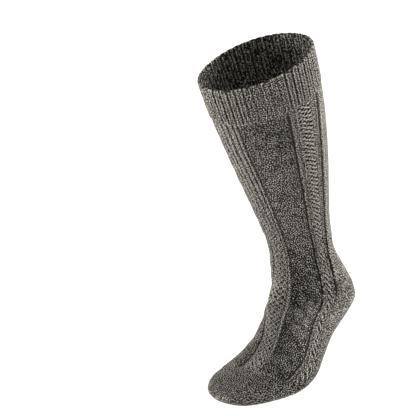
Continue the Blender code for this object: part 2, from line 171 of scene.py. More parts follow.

# The relief. Pits are painted shade in hollows, and shines are painted light and shade that make
# the wool look lighter or darker.
STITCH_HEIGHT = 0.00065
PURL_HEIGHT = 0.00035
BAND_HEIGHT = 0.0008
EYELET_DEPTH = 0.0014
SEAM_FADE = 0.004  # the pattern fades over this length before and after a seam
EDGE_SOFT = 0.5  # wales over which a raised rib falls off
INNER_RELIEF = 0.7  # share of the relief that is left on the inside
STILL_COURSES = 0.34  # by which the stitches' legs slide less beside a seam

# The cuff. Shares are of the pitch of its ribs, from the middle of one ditch to the next.
RIB_HEIGHT = 0.0009
RIB_DITCH_DEPTH = 0.0008
RIB_DITCH_SHARE = 0.15  # half width of a ditch
RIB_SOFT = 0.16
RIB_GROOVE = 0.0004  # depth of the groove down the middle of a rib
RIB_GROOVE_HALF = 0.10
RIB_GROOVE_PIT = 0.65
RIB_EDGE_SHARE = 0.24  # from the middle of a ditch to the painted highlight on a rib's edge
RIB_EDGE_HALF = 0.07
RIB_EDGE_SHINE = 0.60
STRETCHED_PAINTED_SHADE = 0.13  # painted shade that makes the cuff darker where its ribs are stretched flat
CUFF_FADE = 0.002

# The front band. Places are in wales from the front middle.
NET_COURSES = 3.2  # from one eyelet to the next below it
NET_WALES = 1.7  # from one column of eyelets to the next
NET_EDGE = 5.0
NET_HEIGHT = 0.0002
NET_EYELET_SHARE = 0.8  # of the full depth of an eyelet
NET_LEFT_OUT = 0.8  # share of the net that gives way to lines from the cuff
NET_PIT = 1.3
NET_SHINE = 0.50
FRONT_RIB = (5.8, 6.7)
FRONT_RIB_SHINE = 0.16
FRONT_LINES = (5.3, 2.7, 0.0)
FRONT_LINE_HALF = 0.42
FRONT_LINE_DEPTH = 0.0011
FRONT_LINE_LEAST = 0.4  # share of the outer line that is there all the way down
FRONT_LINE_PITCH = 2.65
FRONT_LINE_SHINE = 0.18
FRONT_SHINE = 0.08

# The cable panel
CABLE_HEIGHT = 0.0023
CABLE_START = 0.014  # length over which the cable grows below the cuff
CABLE_LEAST = 0.2  # height of the rope between two strands
STRAND_POWER = 0.8  # below 1 makes the strands fuller than a wave
HOLLOW_BELOW = 0.6  # share of a strand's height under which it is a hollow
HOLLOW_PIT = 0.45
ROPE_SHINE = 0.25
PANEL_SINK = 0.0003

# The side band and the ladder band after it. Places are in wales from the band's front edge.
SIDE_RIBS = ((0.6, 1.4), (2.6, 3.4))
SIDE_RIB_SHINE = 0.15
SIDE_GAPS = ((1.6, 2.4, 0.5), (3.5, 3.9, 0.3))
SIDE_GAP_PIT = 0.45
LADDER_RIBS = ((2.9, 4.5), (5.1, 6.5))
LADDER_RIB_SOFT = 0.6
LADDER_GAP = 4.8
LADDER_GAP_HALF = 0.35
LADDER_GAP_PIT = 0.35
LADDER_HALF_WALES = 2.6
LADDER_COLUMNS = 4
COLUMN_COURSES = 3.0  # from one stroke to the next in a staggered column
COLUMN_SHIFT = 0.5  # strokes from one column to the next
COLUMN_SLANT = 0.06
SLANT_COURSES = 3.6  # from one stroke to the next on the slant
LADDER_SLANT = 0.7  # strokes that the slant moves from the middle to an edge
SLOT_STEEPNESS = 3.2
SLOT_START = 0.8
SLOT_HALF = 0.70
STROKE_STEEPNESS = 1.3
STROKE_SHINE = 1.05
LADDER_SHINE = 0.06

# The back and the ditches
BACK_RIDGE = 0.0048  # from the edge of the back to its ridge
BACK_RIDGE_HALF = 0.0018
BACK_RIDGE_SHINE = 0.4
DITCH_DEPTH = 0.0016
DITCH_HALF = 0.0011
BACK_DITCH_WIDER = 2.3
INNER_DITCH_WIDER = 1.8
DITCH_STEEPNESS = 2.8
DITCH_START = 0.6
DITCHES = ((CABLE_PANEL, "panel_line"), (SIDE_BAND, "side_line"), (BACK, "back_line"))

OUTLINE_SAMPLES = 1200


def named(columns, row):
    """One row of a table as a dictionary."""
    return dict(zip(columns, row))


def leg_section(row):
    """One section of the leg: front, back, middle, half width, widest share and two powers."""
    shares = named(LEG_COLUMNS, row)
    depth = ANKLE_DEPTH + (CALF_DEPTH - ANKLE_DEPTH) * shares["fuller"]
    width = ANKLE_WIDTH + (CALF_WIDTH - ANKLE_WIDTH) * shares["fuller"]
    middle = CALF_SET_BACK * shares["set_back"]
    rim_front = SOCK_HEIGHT - RIM_SLOPE / 2
    rim_back = SOCK_HEIGHT + RIM_SLOPE / 2
    front_high = ANKLE_HEIGHT + (rim_front - ANKLE_HEIGHT) * shares["rise"]
    back_high = ANKLE_BACK_HEIGHT + (rim_back - ANKLE_BACK_HEIGHT) * shares["rise"]
    return (middle - depth / 2, front_high, middle + depth / 2, back_high,
            0.0, width / 2, shares["fullest"], shares["round"], shares["round"])


def reach_ahead(share):
    """How far forward a point of the shin, instep or toe lies."""
    shin = ANKLE_DEPTH / 2
    return -(shin + (TOE_REACH - shin) * share)


def turn_section(row):
    """One of the sections that fan round the ankle and heel."""
    shares = named(TURN_COLUMNS, row)
    tendon = ANKLE_DEPTH / 2
    back = tendon + (HEEL_REACH - tendon) * shares["behind"]
    return (reach_ahead(shares["ahead"]), ANKLE_HEIGHT * shares["top"],
            back, ANKLE_HEIGHT * shares["under"],
            0.0, HEEL_WIDTH / 2, shares["fullest"], shares["round_top"], shares["round_under"])


def foot_section(row):
    """One section across the foot."""
    shares = named(FOOT_COLUMNS, row)
    width = HEEL_WIDTH * shares["heel_part"] + BALL_WIDTH * shares["ball_part"]
    return (reach_ahead(shares["ahead"]), ANKLE_HEIGHT * shares["top"],
            -TOE_REACH * shares["sole_ahead"], ANKLE_HEIGHT * shares["under"],
            BALL_WIDTH * shares["outward"], width / 2,
            shares["fullest"], shares["round_top"], shares["round_under"])


SECTIONS = np.array(
    [leg_section(row) for row in LEG_SECTIONS]
    + [turn_section(row) for row in TURN_SECTIONS]
    + [foot_section(row) for row in FOOT_SECTIONS]
)
LAST_SECTION = len(SECTIONS) - 1


def section_at(place):
    """The section at any place between the listed ones, on a smooth curve through them."""
    first = min(int(place), LAST_SECTION - 1)
    before = SECTIONS[max(first - 1, 0)]
    start = SECTIONS[first]
    end = SECTIONS[first + 1]
    after = SECTIONS[min(first + 2, LAST_SECTION)]
    t = place - first
    return 0.5 * (2 * start + (end - before) * t
                  + (2 * before - 5 * start + 4 * end - after) * t ** 2
                  + (3 * start - before - 3 * end + after) * t ** 3)


def outline_at(place, shares):
    """Points of the smooth skin at shares of the way round, and the whole way round."""
    front_y, front_z, back_y, back_z, middle_x, half, fullest, power_front, power_back = (
        section_at(place))
    turn = np.linspace(0.0, 2 * math.pi, OUTLINE_SAMPLES + 1)
    cosine = np.cos(turn)
    sine = np.sin(turn)
    power = 2.0 / np.where(cosine > 0, power_front, power_back)
    along = np.sign(cosine) * np.abs(cosine) ** power
    across = np.sign(sine) * np.abs(sine) ** power
    depth = np.where(along > 0, fullest * (1 - along), fullest - (1 - fullest) * along)
    points = np.stack([middle_x + half * across,
                       front_y + (back_y - front_y) * depth,
                       front_z + (back_z - front_z) * depth - WALL], axis=1)
    lengths = np.linalg.norm(np.diff(points, axis=0), axis=1)
    travelled = np.concatenate([[0.0], np.cumsum(lengths)]) / lengths.sum()
    wanted = np.mod(shares, 1.0)
    found = np.stack([np.interp(wanted, travelled, points[:, axis]) for axis in range(3)], axis=1)
    return found, lengths.sum()


PLACE_SAMPLES = 400
LENGTH_SAMPLES = 2000
PANEL_SHARE = 0.11  # where the cable panel lies, as a share of the way round
PLACES = np.linspace(0.0, LAST_SECTION, PLACE_SAMPLES)
SECTION_ENDS = np.array([section_at(place)[:4] for place in PLACES])
PANEL_LINE = np.array([outline_at(place, np.array([PANEL_SHARE]))[0][0] for place in PLACES])
LENGTHS = np.concatenate([[0.0], np.cumsum(np.linalg.norm(np.diff(PANEL_LINE, axis=0), axis=1))])


def length_at(place):
    """Length from the rim down to a place, taken along the cable panel."""
    return np.interp(place, PLACES, LENGTHS)


def place_where(values, wanted, lowest=0.0):
    """The first place past the lowest one where a falling value reaches the wanted one."""
    reached = (PLACES >= lowest) & (values <= wanted)
    return float(PLACES[reached][0])


TURN_START = len(LEG_SECTIONS) - 1
FOOT_START = len(LEG_SECTIONS) + len(TURN_SECTIONS)
CUFF_END = place_where(SECTION_ENDS[:, 1], SOCK_HEIGHT - RIM_SLOPE / 2 - CUFF_HEIGHT)
HEEL_TOP = place_where(SECTION_ENDS[:, 3], HEEL_HEIGHT, TURN_START)
HEEL_END = place_where(SECTION_ENDS[:, 2], HEEL_REACH - HEEL_LENGTH, TURN_START)
TOE_START = place_where(SECTION_ENDS[:, 0], -(TOE_REACH - TOE_CAP_LENGTH), FOOT_START)
CUFF_LENGTH = length_at(CUFF_END)
HEEL_TOP_LENGTH = length_at(HEEL_TOP)
HEEL_END_LENGTH = length_at(HEEL_END)
TOE_LENGTH = length_at(TOE_START)
WHOLE_LENGTH = length_at(LAST_SECTION)

FINE_LENGTHS = np.linspace(0.0, WHOLE_LENGTH, LENGTH_SAMPLES)
HEIGHTS_THERE = np.interp(FINE_LENGTHS, *zip(*COURSE_HEIGHTS))
COURSES_THERE = np.concatenate(
    [[0.0], np.cumsum(np.diff(FINE_LENGTHS) / (0.5 * (HEIGHTS_THERE[1:] + HEIGHTS_THERE[:-1])))])


def courses_at(length):
    """How many courses are knitted from the rim down to a length."""
    return np.interp(length, FINE_LENGTHS, COURSES_THERE)


def lengths_between(start, end):
    """Lengths of rows of points, evenly spaced over an even number of courses."""
    first = courses_at(start)
    last = courses_at(end)
    pairs = max(1, round((last - first) / 2))
    count = ROWS_PER_COURSE * 2 * pairs
    return np.interp(np.linspace(first, last, count + 1), COURSES_THERE, FINE_LENGTHS)


def read_table(columns, rows, places):
    """Every column of a table of sections, read between its rows at some places."""
    table = np.array(rows)
    return {name: np.interp(places, table[:, 0], table[:, index])
            for index, name in enumerate(columns)}


def band_table(places):
    """The edges of the bands at some places, one column for each edge, and the turn."""
    table = read_table(BAND_COLUMNS, BAND_EDGES, places)
    inner = [table[name] for name in ("front_band", "side_band", "ladder", "back")]
    edges = np.stack([np.zeros(len(places)), *inner, np.full(len(places), 0.5)], axis=1)
    return edges, table["turned"]


class Columns:
    """Columns of points down the sock, by number: 0 is the front middle, positive is outward.

    side: 1 on the outer half and -1 on the inner. band: the number of its band. within, part: how
    far into the band it lies, in wales and as a share. wale: wales from the front middle.
    """

    def __init__(self, numbers):
        half = sum(WALES) * COLUMNS_PER_WALE
        turn = np.mod(numbers, 2 * half)
        self.side = np.where(turn <= half, 1, -1)
        wale = np.where(turn <= half, turn, 2 * half - turn) / COLUMNS_PER_WALE
        starts = np.concatenate([[0], np.cumsum(WALES)])
        self.band = np.clip(np.searchsorted(starts, wale, side="right") - 1, 0, len(WALES) - 1)
        self.within = wale - starts[self.band]
        self.part = self.within / np.array(WALES)[self.band]
        self.wale = wale * self.side

    def shares(self, edges, shift):
        """Shares of the way round at one place."""
        near = edges[self.band]
        far = edges[self.band + 1]
        share = self.side * (near + (far - near) * self.part)
        return share + shift * (1 - 2 * np.abs(share))


def bump(distance, half):
    """A smooth hump, 1 in its middle, that fades over about its half width."""
    return np.exp(-(distance / half) ** 2)


def flat_hump(value, start, end, soft):
    """1 between start and end, with soft edges."""
    rise = np.clip((value - start) / soft + 0.5, 0, 1)
    fall = np.clip((end - value) / soft + 0.5, 0, 1)
    return (rise * rise * (3 - 2 * rise)) * (fall * fall * (3 - 2 * fall))


def fade(length, edge, over):
    """0 at an edge of the pattern and 1 once past it."""
    return np.clip(np.abs(length - edge) / over, 0, 1)


def cable(across, length):
    """The rope of the cable panel and the painted shade of its hollows: round strands that cross on
    a slant.
    """
    crown = np.sqrt(np.clip(1 - across ** 2, 0, 1))
    phase = 2 * math.pi * length / CABLE_PITCH - CABLE_SLANT * across
    strand = np.abs(np.cos(phase / 2)) ** STRAND_POWER
    rope = crown * (CABLE_LEAST + (1 - CABLE_LEAST) * strand)
    return rope, np.clip(HOLLOW_BELOW - strand, 0, 1) * crown


def uneven(column, course):
    """Shares from 0.5 to 1.2 that differ from one stroke to the next, as in hand knitting."""
    return 0.85 + 0.35 * np.sin(37.0 * column + 91.7 * np.floor(course) + 5.3)


def ladder(across, course, slanted):
    """Short strokes with slots that get painted shade: four staggered columns, or one slant where
    slanted.
    """
    number = np.clip(np.floor((across + 1) / 2 * LADDER_COLUMNS), 0, LADDER_COLUMNS - 1)
    in_column = (across + 1) * LADDER_COLUMNS - 2 * number - 1
    leaning = 1 - 2 * np.mod(number, 2)
    aside = COLUMN_SHIFT * number + COLUMN_SLANT * in_column * leaning
    on_slant = slanted > 0.5
    turn = np.where(on_slant, course / SLANT_COURSES - LADDER_SLANT * across,
                    course / COLUMN_COURSES + aside)
    in_column = np.where(on_slant, across, in_column)
    stroke = np.cos(2 * math.pi * turn) * uneven(np.where(on_slant, 0, number), turn)
    body = np.sqrt(np.clip(1 - in_column ** 2, 0, 1))
    slot = np.clip(-SLOT_STEEPNESS * stroke - SLOT_START, 0, 1) * bump(in_column, SLOT_HALF)
    return body * stroke, slot


def lattice(wale, course):
    """The raised net of the front band and its eyelets, in columns that are staggered."""
    wave = np.cos(2 * math.pi * course / NET_COURSES) * np.cos(math.pi * wale / NET_WALES)
    wave = wave * uneven(np.floor(wale / NET_WALES + 0.5), course / NET_COURSES * 2 + 0.5)
    return -wave, np.clip(2.8 * wave - 1.0, 0, 1)


class Relief:
    """The height, painted shade of pits, purl share and painted light of a grid of points, added up
    band by band.
    """

    def __init__(self, columns, width, length, course):
        self.columns = columns
        self.length = length
        self.course = course
        self.band = columns.band[None, :]
        self.within = columns.within[None, :] + 0 * length
        self.left = columns.part[None, :] * width
        self.right = width - self.left
        places = np.interp(length, LENGTHS, PLACES)
        self.strength = read_table(STRENGTH_COLUMNS, STRENGTHS, places)
        self.height, self.pit, self.purl, self.painted_light = np.zeros((4, *length.shape))

    def add(self, where, height=0.0, pit=0.0, purl=0.0, painted_light=0.0):
        """Adds to the relief of one band."""
        self.height += where * height
        self.pit += where * pit
        self.purl += where * purl
        self.painted_light += where * painted_light

    def add_front_band(self):
        """The net with its eyelets, the rib at its outer edge, and the lines from the cuff."""
        run_on = self.strength["front_ribs"]
        slanted = self.strength["slanted"]
        net, eyelet = lattice(self.within, self.course)
        net_zone = flat_hump(self.within, -NET_EDGE, NET_EDGE, EDGE_SOFT)
        net_zone = net_zone * (1 - NET_LEFT_OUT * run_on)
        rib = flat_hump(self.within, *FRONT_RIB, EDGE_SOFT) * (self.columns.side > 0)
        outer, halfway, middle = [bump(self.within - line, FRONT_LINE_HALF)
                                  for line in FRONT_LINES]
        seam = (outer * (FRONT_LINE_LEAST + (1 - FRONT_LINE_LEAST) * run_on)
                + run_on * (halfway + middle))
        lines = np.cos(2 * math.pi * (self.within / FRONT_LINE_PITCH - 0.5))
        eyelet_depth = EYELET_DEPTH * eyelet * NET_EYELET_SHARE
        self.add(
            self.band == FRONT_BAND,
            height=(net_zone * (NET_HEIGHT * net - eyelet_depth)
                    + BAND_HEIGHT * rib - FRONT_LINE_DEPTH * seam),
            # Painted shade in the eyelets and lines, and painted light on the net, the rib, the
            # lines and the whole band
            pit=(NET_PIT - 0.55 * slanted) * net_zone * eyelet + seam,
            painted_light=((NET_SHINE + 0.05 * slanted) * net_zone * net + FRONT_RIB_SHINE * rib
                   + FRONT_LINE_SHINE * run_on * lines + FRONT_SHINE + 0.12 * slanted),
        )

    def add_cable_panel(self):
        """The cable on its purl ground, which grows below the cuff."""
        across = (self.columns.part[None, :] - 0.5) / CABLE_HALF_SHARE + 0 * self.length
        grown = self.strength["cable"] * fade(self.length, CUFF_LENGTH, CABLE_START)
        rope, hollow = cable(across, self.length)
        self.add(
            self.band == CABLE_PANEL,
            height=CABLE_HEIGHT * rope * grown - PANEL_SINK,
            # Painted shade in the cable's hollows and over the outer panel, and painted highlight
            # on the rope
            pit=HOLLOW_PIT * hollow * grown,
            purl=np.maximum(np.abs(across) >= 1, 1.6 - 2 * grown),
            painted_light=(ROPE_SHINE * grown * (rope - 0.6)
                   - self.strength["painted_panel_shade"] * (self.columns.side > 0)),
        )

    def add_side_bands(self):
        """The thin ribs of the side band, the ladder over both bands, and the ribs behind it."""
        in_side = self.band == SIDE_BAND
        in_ladder = self.band == LADDER_BAND
        thin = sum(flat_hump(self.within, *rib, EDGE_SOFT) for rib in SIDE_RIBS)
        gap = sum(flat_hump(self.within, *edges) for edges in SIDE_GAPS)
        # Painted shade in the gaps and painted highlight on the thin ribs
        self.add(in_side, height=BAND_HEIGHT * thin, pit=SIDE_GAP_PIT * gap, purl=gap,
                 painted_light=SIDE_RIB_SHINE * thin)
        from_middle = np.where(in_side, self.within - WALES[SIDE_BAND], self.within)
        from_middle = from_middle / LADDER_HALF_WALES
        strokes, slot = ladder(from_middle, self.course, self.strength["slanted"])
        clear = self.strength["ladder"]
        # Painted highlight on the ladder's strokes and over the whole ladder, and painted shade in
        # its slots
        light = STROKE_SHINE * np.clip(STROKE_STEEPNESS * strokes, -0.5, 1)
        self.add(
            (in_side | in_ladder) * (np.abs(from_middle) < 1),
            height=(BAND_HEIGHT * strokes - EYELET_DEPTH * slot) * clear,
            pit=slot * clear,
            painted_light=light * clear + LADDER_SHINE,
        )
        wide = sum(flat_hump(self.within, *rib, LADDER_RIB_SOFT) for rib in LADDER_RIBS)
        # Painted shade in the ladder band's gap
        self.add(in_ladder, height=BAND_HEIGHT * wide,
                 pit=LADDER_GAP_PIT * bump(self.within - LADDER_GAP, LADDER_GAP_HALF))

    def add_back(self):
        """The ridge beside the edge of the plain back, with painted light along it."""
        ridge = bump(self.left - BACK_RIDGE, BACK_RIDGE_HALF)
        self.add(self.band == BACK, height=BAND_HEIGHT * ridge, painted_light=BACK_RIDGE_SHINE * ridge)

    def ditch(self, band, name):
        """The ditch along the front edge of a band: its shape, strength and painted shade."""
        half = DITCH_HALF * (BACK_DITCH_WIDER if band == BACK else 1.0)
        strength = self.strength[name]
        if band == CABLE_PANEL:
            inner = self.columns.side[None, :] < 0
            half = np.where(inner, INNER_DITCH_WIDER * half, half)
            strength = np.where(inner, self.strength["inner_line"], strength)
        after = bump(self.left, half) * (self.band == band)
        before = bump(self.right, half) * (self.band == band - 1)
        line = after + before
        return line, strength, np.clip(DITCH_STEEPNESS * line - DITCH_START, 0, 1) * strength

    def add_ditches(self):
        """The lines between the bands, in purl, sunk and darkened with painted shade."""
        for band, name in DITCHES:
            line, strength, pit = self.ditch(band, name)
            self.height -= DITCH_DEPTH * line * strength
            self.pit += pit
            self.purl = np.where(line > 0.5, 1.0, self.purl)

    def fade_to_heel(self):
        """Lets the back run out before the heel."""
        near_heel = np.where(self.band == BACK, fade(self.length, HEEL_TOP_LENGTH, SEAM_FADE), 1.0)
        self.height *= near_heel
        self.pit *= near_heel

    def result(self):
        """Height, painted shade, purl and painted light, which fade at the seams, but not from cuff
        to front band.
        """
        from_cuff = np.where(self.band == FRONT_BAND, 1.0,
                             fade(self.length, CUFF_LENGTH, SEAM_FADE))
        ends = fade(self.length, TOE_LENGTH, SEAM_FADE) * from_cuff
        return self.height * ends, self.pit * ends, np.clip(self.purl, 0, 1), self.painted_light * ends


def ribbed(columns, length):
    """The relief of the cuff: ribs with painted highlights on their edges, and purl ditches between
    them with painted shade.
    """
    turn = np.mod(columns.share[None, :] * RIB_COUNT, 1.0) + 0 * length
    clear = np.interp(columns.share, *zip(*RIB_CLEARNESS))[None, :]
    ridge = 1 - clear * (1 - flat_hump(turn, RIB_DITCH_SHARE, 1 - RIB_DITCH_SHARE, RIB_SOFT))
    groove = bump(turn - 0.5, RIB_GROOVE_HALF)
    height = RIB_HEIGHT * ridge - RIB_DITCH_DEPTH * (1 - ridge) - RIB_GROOVE * groove
    edge = bump(np.abs(turn - 0.5) - 0.5 + RIB_EDGE_SHARE, RIB_EDGE_HALF)
    ends = fade(length, CUFF_LENGTH, CUFF_FADE)
    # Painted shade in the ditches and grooves, painted highlight on the ribs' edges, and painted
    # shade where the ribs are stretched
    pit = 1 - ridge + RIB_GROOVE_PIT * groove * clear
    painted_light = RIB_EDGE_SHINE * edge * clear * ends - STRETCHED_PAINTED_SHADE * (1 - clear)
    return height * ends, pit * ends, 1 - ridge, painted_light


class CuffColumns:
    """Columns of points round the cuff, spread evenly."""

    def __init__(self, numbers):
        whole = RIB_COUNT * WALES_PER_RIB * COLUMNS_PER_WALE
        self.wale = numbers / COLUMNS_PER_WALE + 0.5
        self.share = numbers / whole

    def shares(self, edges, shift):
        """Shares of the way round at one place."""
        return self.share


def stitch(wale, course, purl):
    """Height of one stitch, from -1 to 1: two legs of a V, or the bump of a purl stitch."""
    within = np.mod(wale, 1.0)
    legs = np.abs(np.sin(2 * math.pi * within))
    crest = 0.5 + 0.5 * np.cos(2 * math.pi * course)
    knit = legs * (0.35 + 0.65 * crest) - 0.35 - 0.25 * (within < 0.1) * (1 - crest)
    bumps = (0.6 + 0.4 * np.cos(2 * math.pi * within)) * crest - 0.4
    return knit * (1 - purl) + bumps * purl * PURL_HEIGHT / STITCH_HEIGHT


def lean(wale, purl):
    """How far a point of a V lies down its course, in courses."""
    within = np.mod(wale, 1.0)
    vee = 1 - np.abs(2 * within - 1)
    return 0.62 * vee * (1 - purl) + 0.2 * vee * purl


def skin(lengths, columns):
    """Smooth skin on a grid of lengths and columns, widths of the bands and ways round."""
    places = np.interp(lengths, LENGTHS, PLACES)
    edges, shift = band_table(places)
    points = []
    round_about = []
    shares = np.array([columns.shares(edge, turn) for edge, turn in zip(edges, shift)])
    for place, share in zip(places, shares):
        row, girth = outline_at(place, share)
        points.append(row)
        round_about.append(girth)
    return np.array(points), np.array(round_about), edges, shares


def unit(vectors):
    """The same directions at length one."""
    return vectors / np.maximum(np.linalg.norm(vectors, axis=-1, keepdims=True), 1e-12)


def along_rows(points):
    """Differences down the sock."""
    return np.gradient(points, axis=0)


def along_columns(points, closed):
    """Differences round the sock."""
    if closed:
        return np.roll(points, -1, axis=1) - np.roll(points, 1, axis=1)
    return np.gradient(points, axis=1)


def normals_of(points, closed):
    """Directions out of a grid of points."""
    return unit(np.cross(along_rows(points), along_columns(points, closed)))


def toe_wales(shares, girth):
    """Wales of the toe cap: counted from the middles of its top and sole out to both sides."""
    share = np.mod(shares + 0.5, 1.0) - 0.5
    from_sole = np.sign(share) * (0.5 - np.abs(share))
    nearest = np.where(np.abs(share) < 0.25, share, from_sole)
    return nearest * girth[:, None] / TOE_WALE


def fleck_tile():
    """A square of light and dark flecks that repeats: noise of nearly one fineness."""
    noise = np.random.default_rng(FLECK_SEED).standard_normal((TILE_CELLS, TILE_CELLS))
    fineness = np.hypot(np.fft.fftfreq(TILE_CELLS, TILE_CELL)[:, None],
                        np.fft.rfftfreq(TILE_CELLS, TILE_CELL))
    kept = np.exp(-((fineness * FLECK_LENGTH - 1) / FLECK_SPREAD) ** 2)
    tile = np.fft.irfft2(np.fft.rfft2(noise) * kept, (TILE_CELLS, TILE_CELLS))
    return tile / tile.std()


FLECK_TILE = fleck_tile()


def flecks_at(around, along):
    """The flecks at lengths round and along the sock, blended between the tile's cells."""
    row = np.mod(along / TILE_CELL, TILE_CELLS)
    column = np.mod(around / TILE_CELL, TILE_CELLS)
    first_row = row.astype(int)
    first_column = column.astype(int)
    part_row = row - first_row
    part_column = column - first_column
    rows = [(first_row + step) % TILE_CELLS for step in (0, 1)]
    columns = [(first_column + step) % TILE_CELLS for step in (0, 1)]
    upper, lower = [FLECK_TILE[cells, columns[0]] * (1 - part_column)
                    + FLECK_TILE[cells, columns[1]] * part_column for cells in rows]
    return upper * (1 - part_row) + lower * part_row


def relief_of(form, columns, width, length, course):
    """The relief of a piece. Plain ones have only the painted shade of the line before the back."""
    if form == "cuff":
        return ribbed(columns, length)
    relief = Relief(columns, width, length, course)
    if form == "pattern":
        relief.add_front_band()
        relief.add_cable_panel()
        relief.add_side_bands()
        relief.add_back()
        relief.add_ditches()
        relief.fade_to_heel()
    else:
        relief.pit = relief.ditch(BACK, "back_line")[2]
    return relief.result()


def knit(lengths, columns, closed, form):
    """Positions and attributes of one knitted piece of a form: cuff, pattern, plain or toe."""
    points, girth, edges, shares = skin(lengths, columns)
    outward = normals_of(points, closed)
    rows = len(lengths)
    course = courses_at(lengths)[:, None] + 0 * points[..., 0]
    length = lengths[:, None] + 0 * course
    wale = columns.wale[None, :] + 0 * course
    width = None
    if form == "toe":
        wale = toe_wales(shares, girth)
    if form != "cuff":
        width = (edges[:, columns.band + 1] - edges[:, columns.band]) * girth[:, None]
    stretch = np.where(columns.band == BACK, BACK_FLECKS, 1.0) if form == "pattern" else 1.0

    purl = relief_of(form, columns, width, length, course)[2]
    courses_to_end = np.minimum(np.arange(rows), np.arange(rows)[::-1]) / ROWS_PER_COURSE
    slide = lean(wale, purl) * np.clip(courses_to_end - STILL_COURSES, 0, 1)[:, None]
    at_row = np.arange(rows)[:, None] + slide * ROWS_PER_COURSE
    low = np.minimum(at_row.astype(int), rows - 2)
    picked = np.arange(points.shape[1])[None, :] + 0 * low

    def slid(values, part):
        """Values on the rows that the stitches' legs reach down to."""
        return values[low, picked] * (1 - part) + values[low + 1, picked] * part

    part = at_row - low
    points = slid(points, part[..., None])
    outward = unit(slid(outward, part[..., None]))
    length = slid(length, part)
    height, pit, purl, painted_light = relief_of(form, columns, width, length, slid(course, part))
    crest = stitch(wale, course, purl)
    stitches = STITCH_HEIGHT * crest * np.clip(courses_to_end, 0, 1)[:, None]
    return {
        "outside": points + outward * (height + stitches)[..., None],
        "inside": points + outward * (INNER_RELIEF * height - WALL)[..., None],
        "course": course,
        "wale": wale,
        # Painted shade of hollows and painted light, kept for the wool's colour
        "pit": np.clip(pit, 0, 1),
        "painted_light": painted_light,
        "fleck": flecks_at(shares * girth[:, None] * stretch, length),
        "crest": crest,
    }


def grid_faces(start, rows, columns, closed, flip):
    """Four-sided faces over a grid whose points are numbered row by row."""
    row = np.arange(rows - 1)[:, None]
    column = np.arange(columns if closed else columns - 1)[None, :]
    right = (column + 1) % columns
    faces = np.stack([start + row * columns + column, start + (row + 1) * columns + column,
                      start + (row + 1) * columns + right, start + row * columns + right], axis=-1)
    faces = faces.reshape(-1, 4)
    return faces[:, ::-1] if flip else faces


def edge_faces(outer, inner, step, closed, flip):
    """Triangles from a fine chain of outside points to a coarser chain of inside points."""
    faces = []
    spans = len(inner) if closed else len(inner) - 1
    for span in range(spans):
        near = inner[span]
        far = inner[(span + 1) % len(inner)]
        first = step * span
        for index in range(step):
            here = outer[first + index]
            there = outer[(first + index + 1) % len(outer)]
            faces.append((here, there, near if index < step // 2 else far))
        faces.append((outer[first + step // 2], far, near))
    faces = np.array(faces)
    return faces[:, ::-1] if flip else faces


RIM_ROWS = 5
RIM_FLATNESS = 0.8  # height of the rim's round edge over half its wall
TIP_REACH = 0.0004  # from the toe's last round to its last point
# Two of these carry painted shade in hollows and painted light for the wool's colour
KNIT_ATTRIBUTES = ("course", "wale", "pit", "painted_light", "crest", "fleck")


def rim_rows(outside, inside):
    """Rows of points over the rounded top edge, from the inside to the outside."""
    middle = (outside[0] + inside[0]) / 2
    reach = (outside[0] - inside[0]) / 2
    up = unit(outside[0] - outside[2]) * np.linalg.norm(reach, axis=1, keepdims=True)
    turns = np.linspace(0, math.pi, RIM_ROWS + 2)[1:]
    return np.array([middle + reach * math.cos(turn) + up * math.sin(turn) * RIM_FLATNESS
                     for turn in turns])[::-1]


def fill_mesh(mesh, points, quads, triangles):
    """Puts points and faces into an empty mesh. Returns the point at every corner."""
    mesh.vertices.add(len(points))
    mesh.vertices.foreach_set("co", points.astype(np.float32).ravel())
    corners = np.concatenate([quads.ravel(), triangles.ravel()]).astype(np.int32)
    mesh.loops.add(len(corners))
    mesh.loops.foreach_set("vertex_index", corners)
    starts = np.concatenate([4 * np.arange(len(quads)),
                             4 * len(quads) + 3 * np.arange(len(triangles))]).astype(np.int32)
    mesh.polygons.add(len(starts))
    mesh.polygons.foreach_set("loop_start", starts)
    mesh.update(calc_edges=True)
    mesh.validate()
    mesh.shade_smooth()
    return corners


def set_normals(mesh, normals, corners, points, triangles, flat_edges):
    """Smooth shading from the grid's own normals, and flat shading on the cut edges."""
    corner_normals = normals[corners]
    if flat_edges:
        first, second, third = np.moveaxis(points[triangles], 1, 0)
        flat = unit(np.cross(second - first, third - first))
        corner_normals[len(corners) - 3 * len(triangles):] = np.repeat(flat, 3, axis=0)
    mesh.normals_split_custom_set(corner_normals.astype(np.float32))


def set_attribute(mesh, name, values):
    """One number for each point, and 0 for the points that have none."""
    values = np.concatenate([values, np.zeros(len(mesh.vertices) - len(values))])
    layer = mesh.attributes.new(name, "FLOAT", "POINT")
    layer.data.foreach_set("value", values.astype(np.float32))


